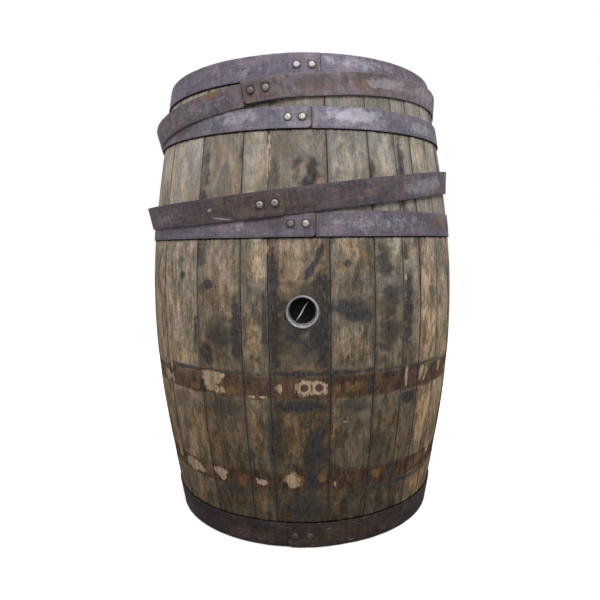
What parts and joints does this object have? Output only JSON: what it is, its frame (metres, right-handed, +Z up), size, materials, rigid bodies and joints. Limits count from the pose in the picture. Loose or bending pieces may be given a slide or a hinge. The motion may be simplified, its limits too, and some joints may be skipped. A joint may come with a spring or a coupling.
{
  "type": "oak barrel",
  "caption": "Weathered bulged oak cask on its end, with riveted steel hoops, slipped hoops tilted on its upper half, and a recessed bung in a metal bush.",
  "frame": {"origin": "centre of the bottom end, at the floor", "axes": "+Z up along the barrel's axis, -Y towards the bung (the front), +X to the right seen from the front"},
  "size_m": [0.6653, 0.6656, 0.889],
  "materials": {
    "stave_oak": "weathered grey-brown oak, fine vertical grain, dark stains, rust marks of old hoops",
    "head_oak": "weathered flat-sawn oak boards",
    "hoop_steel": "dark mill scale with light scuffs",
    "rusted_hoop_steel": "brown rust over dark steel",
    "rivet_zinc": "dull pale rivet heads, dented",
    "bush_zinc": "dull grey cast metal",
    "bung_black": "black, slightly dusty"
  },
  "bodies": {
    "cask": {"bung_stave": "stave_oak", "stave_02": "stave_oak", "stave_03": "stave_oak", "stave_04": "stave_oak", "stave_05": "stave_oak", "stave_06": "stave_oak", "stave_07": "stave_oak", "stave_08": "stave_oak", "stave_09": "stave_oak", "stave_10": "stave_oak", "stave_11": "stave_oak", "stave_12": "stave_oak", "stave_13": "stave_oak", "stave_14": "stave_oak", "stave_15": "stave_oak", "stave_16": "stave_oak", "stave_17": "stave_oak", "stave_18": "stave_oak", "stave_19": "stave_oak", "stave_20": "stave_oak", "stave_21": "stave_oak", "stave_22": "stave_oak", "stave_23": "stave_oak", "stave_24": "stave_oak", "stave_25": "stave_oak", "stave_26": "stave_oak", "stave_27": "stave_oak", "stave_28": "stave_oak", "top_head_board_1": "head_oak", "top_head_board_2": "head_oak", "top_head_board_3": "head_oak", "top_head_board_4": "head_oak", "top_head_board_5": "head_oak", "bottom_head_board_1": "head_oak", "bottom_head_board_2": "head_oak", "bottom_head_board_3": "head_oak", "bottom_head_board_4": "head_oak", "bottom_head_board_5": "head_oak", "top_head_hoop": "hoop_steel", "upper_quarter_hoop": "hoop_steel", "upper_bilge_hoop": "hoop_steel", "bottom_head_hoop": "rusted_hoop_steel", "top_head_hoop_rivet_left": "rivet_zinc", "top_head_hoop_rivet_right": "rivet_zinc", "upper_quarter_hoop_rivet_left": "rivet_zinc", "upper_quarter_hoop_rivet_right": "rivet_zinc", "upper_bilge_hoop_rivet_left": "rivet_zinc", "upper_bilge_hoop_rivet_right": "rivet_zinc", "bottom_head_hoop_rivet_left": "rivet_zinc", "bottom_head_hoop_rivet_right": "rivet_zinc", "bung_bush": "bush_zinc"},
    "bung": {"bung_plug": "bung_black"},
    "loose_quarter_hoop": {"slipped_quarter_hoop": "rusted_hoop_steel", "slipped_quarter_hoop_rivet_left": "rivet_zinc", "slipped_quarter_hoop_rivet_right": "rivet_zinc"},
    "loose_bilge_hoop": {"slipped_bilge_hoop": "rusted_hoop_steel", "slipped_bilge_hoop_rivet_left": "rivet_zinc", "slipped_bilge_hoop_rivet_right": "rivet_zinc"}
  },
  "joints": [
    {"name": "bung_pull", "type": "slide", "parent": "cask", "child": "bung", "axis": [0, -1, 0], "range_m": [0, 0.1]},
    {"name": "quarter_hoop_lift", "type": "slide", "parent": "cask", "child": "loose_quarter_hoop", "axis": [0, 0, 1], "range_m": [0, 0.14]},
    {"name": "bilge_hoop_lift", "type": "slide", "parent": "cask", "child": "loose_bilge_hoop", "axis": [0, 0, 1], "range_m": [0, 0.3]}
  ]
}
